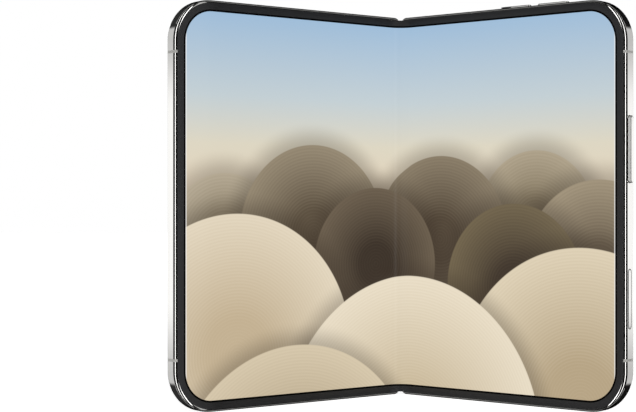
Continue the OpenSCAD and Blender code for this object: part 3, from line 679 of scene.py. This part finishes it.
rim = {
    # the front edge's radius, the arc of it that is covered in degrees, and the steps of the arc and of a corner
    "round": 1.2, "from": 200, "to": 255, "steps": 18, "corner": 96,
    "lift": 0.002, "skin": 0.05, "start": 2.0, "bands": (15.8, 104.8), "gap": 0.42,
}


def makeRim(side):
    # the frame's rounded front edge as a fine, even sheet, parted at the antenna bands
    bm = bmesh.new()
    middle, gap, corner = (rim["round"], rim["round"]), rim["gap"], body["cornerRadius"]
    section = arc(middle, rim["round"] + rim["lift"], rim["from"], rim["to"], rim["steps"])
    section += arc(middle, rim["round"] - rim["skin"], rim["to"], rim["from"], rim["steps"])
    xEnd, (lower, upper) = body["halfWidth"] - corner, rim["bands"]
    # from the hinge along the lower end and round the corner to the first band, and its mirror image above
    edges = chain(bm, [(rim["start"], y, inset) for y, inset in section], closed=True)
    edges = drawOut(bm, edges, (xEnd - rim["start"], 0, 0))
    edges = turnRound(bm, edges, (xEnd, 0, corner), (0, -1, 0), math.pi / 2, rim["corner"])
    drawOut(bm, edges, (0, 0, lower - gap - corner))
    bmesh.ops.mirror(
        bm, geom=bm.verts[:] + bm.edges[:] + bm.faces[:], axis="Z", merge_dist=0,
        matrix=Matrix.Translation((0, 0, -body["height"] / 2)),
    )
    # the free side between the bands
    edges = chain(bm, [(body["halfWidth"] - inset, y, lower + gap) for y, inset in section], closed=True)
    drawOut(bm, edges, (0, 0, upper - lower - 2 * gap))
    closeEnds(bm)
    dress(finishPiece(f"rimEdge_{side}", bm, side, 40), materials["polished_frame"], halfBody[side], "polished_frame")


for side in ("right", "left"):
    makeBorder(side)
    makeRim(side)
print("border and rim done")


def makeBackGlass(side, material, slotName, name, node):
    bm = bmesh.new()
    inset = body["rim"] + body["glassFit"]
    roundedFace(bm, (hinge["glassStart"], body["halfWidth"] - inset), (inset, body["height"] - inset),
                body["cornerRadius"] - inset)
    thicken(bm, body["glassDepth"], body["thick"])
    roundEdges(bm, body["glassEdge"], 4, atDepth(body["thick"]))
    dress(finishPiece(name, bm, side), material, halfBody[side], slotName, node)


plateau = {
    "radius": 11.5, "height": 2.2, "edge": 0.9, "fillet": 1.0, "lip": 0.05, "root": 0.3, "flat": 2.0,
    "ends": (19.6, 63.45), "z": 105.6,
}


def makePlateau():
    # the pill under the cameras: it swells out of the back glass and has a rounded upper edge
    bm = bmesh.new()
    base, top = body["thick"], body["thick"] + plateau["height"]
    radius, edge, fillet = plateau["radius"], plateau["edge"], plateau["fillet"]
    foot = radius + fillet
    rings = [(foot, base - plateau["root"]), (foot, base + plateau["lip"])]
    rings += arc((foot, base + plateau["lip"] + fillet), fillet, 270, 180, 10)[1:]
    rings += arc((radius - edge, top - edge), edge, 0, 90, 10)
    rings += [(radius - edge - plateau["flat"], top)]
    pillStack(bm, plateau["ends"][1] - plateau["ends"][0], rings, steps=40)
    placed(bm, (1, 0, 0), (0, 0, 1), (0, 1, 0), (sum(plateau["ends"]) / 2, 0, plateau["z"]))
    piece = finishPiece("cameraPlateau", bm, "right", 50)
    dress(piece, materials["pearl_glass"], "right_half", "pearl_glass", "camera_plateau")


makeBackGlass("right", materials["pearl_glass"], "pearl_glass", "rearGlass", "rear_glass")
makeBackGlass("left", materials["cover_glass"], "cover_glass", "coverGlass", "cover_glass")
makePlateau()
print("back glass and plateau done")


def shadeTintedGlass():
    # coated cover glass, tinted grey as painted shade so that the lens inside reads darker, with a faint reflection
    return newMaterial(
        "shadeTintedCoverGlass", "#6E7176", Roughness=0.01, IOR=1.45, Transmission_Weight=1.0, Specular_IOR_Level=0.25,
    )[0]


def innerLens(tint):
    # small coated lens element: dark, glossy, with a coloured coat
    material, shader = newMaterial(
        "coatedElement", "#040405", Roughness=0.04, IOR=2.0, Coat_Weight=1.0, Coat_Roughness=0.02,
    )
    shader.inputs["Coat Tint"].default_value = toLinear(tint)
    shader.inputs["Specular Tint"].default_value = toLinear(tint)
    return material


def lathePiece(name, profile, x, z, material, slotName, *nodes, steps=72, side="right"):
    bm = bmesh.new()
    lathe(bm, profile, (x, z), steps)
    dress(finishPiece(name, bm, side, 35), material, halfBody[side], slotName, *nodes)


lens = {
    "x": {"main": 63.45, "wide": 44.75}, "ringRadius": 8.5, "glassRadius": 7.3, "ringTop": 8.2, "glassTop": 7.8,
    "root": 0.3, "edge": 0.3, "edgeDrop": 0.12, "crown": 0.55, "throat": ((0.28, 0.06), (0.04, 0.34)),
    "coverThick": 0.1, "coverFit": 0.02, "coverBevel": 0.05,
}
sleeve = {  # each pair is inward, then down
    "steps": 8, "first": (0.35, 0.14), "step": (0.5, 0.1), "ledge": (0.08, 0.09),
    "root": 0.25, "top": 0.12, "bore": 0.5,
}
element = {
    "radius": {"main": 2.1, "wide": 2.5}, "tint": {"main": "#5C86C8", "wide": "#4FA39B"},
    "root": 0.2, "spring": 0.1, "crown": 0.62, "steps": 12,
    "fit": 0.05, "ring": 0.45, "ringHeight": (0.12, 0.2), "ridge": 0.2,
}


def makeLens(kind):
    x, z = lens["x"][kind], plateau["z"]
    outer, inner, top, glassTop = lens["ringRadius"], lens["glassRadius"], lens["ringTop"], lens["glassTop"]
    floor = plateau["height"] + body["thick"]
    root, edge = floor - lens["root"], lens["edge"]
    ring = [(inner, root), (outer, root), (outer, top - edge - lens["edgeDrop"])]
    ring += arc((outer - edge, top - edge), edge, 0, 75, 6)
    ring += [(outer - lens["crown"], top)] + [(inner + r, top - drop) for r, drop in lens["throat"]] + [(inner, root)]
    lathePiece(f"{kind}LensRing", ring, x, z, materials["lens_ring_steel"], "lens_ring_steel", f"{kind}_lens_ring")
    # stepped black sleeve under the glass
    root = floor - sleeve["root"]
    profile = [(inner, root), (inner, glassTop - sleeve["top"])]
    for i in range(sleeve["steps"]):
        r = inner - sleeve["first"][0] - sleeve["step"][0] * i
        y = glassTop - sleeve["first"][1] - sleeve["step"][1] * i
        profile += [(r, y), (r - sleeve["ledge"][0], y - sleeve["ledge"][1])]
    reach = element["radius"][kind]
    profile += [(reach + sleeve["bore"], root), (inner, root)]
    lathePiece(f"{kind}LensSleeve", profile, x, z, materials["black_ink"], "dark_polymer")
    # coated element with a domed face, in a thin dark retaining ring
    root, spring, crown = floor - element["root"], floor - element["spring"], element["crown"]
    turns = [math.pi / 2 * i / element["steps"] for i in range(element["steps"])]
    dome = [(0.0, root), (reach, root)]
    dome += [(reach * math.cos(t), spring + crown * math.sin(t)) for t in turns] + [(0.0, spring + crown)]
    lathePiece(f"{kind}LensElement", dome, x, z, innerLens(element["tint"][kind]), "lens_glass")
    near, far = reach + element["fit"], reach + element["ring"]
    low, high = (floor + rise for rise in element["ringHeight"])
    retainer = [(near, root), (far, root), (far, low), (near + element["ridge"], high), (near, low), (near, root)]
    lathePiece(f"{kind}LensRetainer", retainer, x, z, materials["dark_polymer"], "dark_polymer")
    wide, bevel = inner - lens["coverFit"], lens["coverBevel"]
    cover = [(0.0, glassTop - lens["coverThick"]), (wide, glassTop - lens["coverThick"]), (wide, glassTop - bevel)]
    cover += [(wide - bevel, glassTop), (0.0, glassTop)]
    # the cover's grey tint is painted shade over the lens inside
    lathePiece(f"{kind}LensCover", cover, x, z, shadeTintedGlass(), "lens_glass", f"{kind}_lens_glass")


for kind in ("main", "wide"):
    makeLens(kind)

flash = {
    "x": 28.3, "z": 101.3, "radius": 2.2, "rings": 4, "margin": 0.22, "root": 0.6, "ridge": 0.04, "groove": 0.03,
    "fit": 0.02, "lip": 0.25, "slope": 0.9,
    "rimWidth": 0.18, "rimCrest": 0.1, "rimRoot": 0.2, "rimHeight": (0.03, 0.07),
}
mic = {"x": 30.2, "z": 110.2, "radius": 0.45, "root": 0.1, "lift": 0.015}


def makeFlash():
    # a ringed diffuser in a thin steel rim, and above it a flat dark disc for the microphone's hole, painted shade
    # where the hole would be
    top = body["thick"] + plateau["height"]
    x, z, radius = flash["x"], flash["z"], flash["radius"]
    wall, step = radius - flash["fit"], (radius - flash["lip"]) / flash["rings"]
    profile = [(0.0, top - flash["root"]), (wall, top - flash["root"]), (wall, top + flash["fit"])]
    for i in range(flash["rings"]):
        r = radius - flash["margin"] - step * i
        profile += [(r, top + flash["ridge"]), (r - step * flash["slope"], top - flash["groove"])]
    profile += [(0.0, top - flash["groove"])]
    lathePiece("flashLens", profile, x, z, materials["flash_diffuser"], "flash_diffuser", "flash_lens")
    outer, root = radius + flash["rimWidth"], top - flash["rimRoot"]
    low, high = (top + rise for rise in flash["rimHeight"])
    edging = [(radius, root), (outer, root), (outer, low), (radius + flash["rimCrest"], high)]
    edging += [(radius, low), (radius, root)]
    lathePiece("flashRim", edging, x, z, materials["hinge_steel"], "hinge_steel")
    # the microphone's hole is a flat dark disc just proud of the plateau: painted shade, not an opening
    root, face = top - mic["root"], top + mic["lift"]
    hole = [(0.0, root), (mic["radius"], root), (mic["radius"], face), (0.0, face)]
    lathePiece("rearMicrophoneShadeDisc", hole, mic["x"], mic["z"], materials["dark_polymer"], "dark_polymer", steps=24)


makeFlash()
print("lenses done")


keys = {
    "power": {"z": 76.7, "length": 19.6, "proud": 0.85, "body": "power", "node": "power_key"},
    "shutter": {"z": 33.45, "length": 17.4, "proud": 0.0, "body": "shutter", "node": "shutter_key"},
    "volumeUp": {"x": 43.45, "length": 10.8, "proud": 0.5, "body": "volume_up", "node": "volume_up_key"},
    "volumeDown": {"x": 56.95, "length": 10.8, "proud": 0.5, "body": "volume_down", "node": "volume_down_key"},
}
keyShape = {
    "radius": 0.93, "slot": 1.05, "slotFit": 0.005, "endPlay": 0.1, "round": 0.2, "crown": 0.01, "flat": 0.25,
    "root": -1.9, "gasket": (-1.8, -0.3),
}


def seatKey(bm, key):
    # a key's length runs along the free side or the upper end, and it rises out of that wall
    middle = body["thick"] / 2
    if "z" in key:
        placed(bm, (0, 0, 1), (0, 1, 0), (1, 0, 0), (body["halfWidth"], middle, key["z"]))
    else:
        placed(bm, (1, 0, 0), (0, 1, 0), (0, 0, 1), (key["x"], middle, body["height"]))


def makeKey(name, key):
    radius, soft, top = keyShape["radius"], keyShape["round"], key["proud"]
    span = key["length"] - 2 * radius - keyShape["endPlay"]
    bm = bmesh.new()
    rings = [(radius, keyShape["root"])] + arc((radius - soft, top - soft - keyShape["crown"]), soft, 0, 80, 5)
    rings += [(radius - soft - keyShape["flat"], top)]
    pillStack(bm, span, rings)
    seatKey(bm, key)
    piece = finishPiece(name + "Key", bm, "right", 50)
    dress(piece, materials["polished_frame"], key["body"], "polished_frame", key["node"])
    bm = bmesh.new()
    pillStack(bm, span, [(keyShape["slot"] - keyShape["slotFit"], height) for height in keyShape["gasket"]])
    seatKey(bm, key)
    gasket = finishPiece(name + "Gasket", bm, "right")
    dress(gasket, materials["dark_polymer"], "right_half", "dark_polymer")


for name, key in keys.items():
    makeKey(name, key)
print("keys done")


coverCamera = {
    "x": 42.0, "z": 112.6, "ring": (1.75, 2.05), "lens": 1.15, "proud": 0.012, "root": 0.02, "bevel": 0.06,
    "steps": 6, "tint": "#5A4FA0",
}


def makeCoverCamera():
    # the small camera behind the cover glass: a dark ring with a coated lens in it
    x, z, face = coverCamera["x"], coverCamera["z"], body["thick"]
    root, top, bevel = face - coverCamera["root"], face + coverCamera["proud"], coverCamera["bevel"]
    inner, outer = coverCamera["ring"]
    ring = [(inner, root), (outer, root), (outer, face), (outer - bevel, top)]
    ring += [(inner + bevel, top), (inner, face), (inner, root)]
    lathePiece("coverCameraRing", ring, x, z, materials["hinge_steel"], "hinge_steel", side="left", steps=48)
    radius, steps = coverCamera["lens"], coverCamera["steps"]
    turns = [math.pi / 2 * i / steps for i in range(steps)]
    dome = [(0.0, root), (radius, root)]
    dome += [(radius * math.cos(t), face + coverCamera["proud"] * math.sin(t)) for t in turns] + [(0.0, top)]
    lathePiece("coverCameraLens", dome, x, z, innerLens(coverCamera["tint"]), "lens_glass", side="left", steps=36)


holes = {
    "speakers": (24.0, 26.4, 28.8, 31.2, 33.6), "radius": 0.7, "microphone": (53.2,), "smallRadius": 0.35,
    "depth": 0.5, "fit": 0.02, "dish": (0.3, -0.08), "thick": 0.1,
}


def makeGauze(name, side, places, radius, atTop=False):
    # dished discs of dark woven gauze inside the round holes of an end rail
    bm = bmesh.new()
    depth = body["height"] - holes["depth"] if atTop else holes["depth"]
    facing = Matrix.Rotation(0 if atTop else math.pi, 4, "X")
    for x in places:
        place = Matrix.Translation((x, body["thick"] / 2, depth)) @ facing
        disc = bmesh.ops.create_circle(
            bm, cap_ends=True, segments=28, radius=radius - holes["fit"], matrix=place,
        )["verts"]
        share, dish = holes["dish"]
        bmesh.ops.inset_region(bm, faces=disc[0].link_faces[:], thickness=radius * share, depth=dish)
    back = bmesh.ops.extrude_face_region(bm, geom=bm.faces[:])
    moved = [g for g in back["geom"] if isinstance(g, bmesh.types.BMVert)]
    bmesh.ops.translate(bm, verts=moved, vec=(0, 0, -holes["thick"] if atTop else holes["thick"]))
    dress(finishPiece(name, bm, side, 40), materials["gauze"], halfBody[side], "dark_polymer")


port = {
    "x": 41.9, "y": 2.45, "tongue": 0.7, "from": 1.35, "to": 3.6,
    "contacts": 12, "pitch": 0.5, "wide": 0.26, "proud": 0.02, "soft": 0.012,
}


def makePortContacts():
    # gold contacts on both faces of the port's tongue
    bm = bmesh.new()
    length = port["to"] - port["from"]
    size = Matrix.Diagonal((port["wide"], 2 * port["proud"], length, 1))
    for face in (-1, 1):
        for i in range(port["contacts"]):
            x = port["x"] + (i - (port["contacts"] - 1) / 2) * port["pitch"]
            y = port["y"] + face * port["tongue"] / 2
            place = Matrix.Translation((x, y, port["from"] + length / 2)) @ size
            bmesh.ops.create_cube(bm, size=1.0, matrix=place)
    roundEdges(bm, port["soft"], 1)
    dress(finishPiece("portContacts", bm, "right"), materials["gold_plate"], "right_half", "bronze")


makeCoverCamera()
makeGauze("speakerGauze", "right", holes["speakers"], holes["radius"])
makeGauze("microphoneGauze", "right", holes["microphone"], holes["smallRadius"])
makeGauze("earpieceGauze", "left", holes["speakers"], holes["radius"], atTop=True)
makePortContacts()
print("cover camera, gauzes and port contacts done")
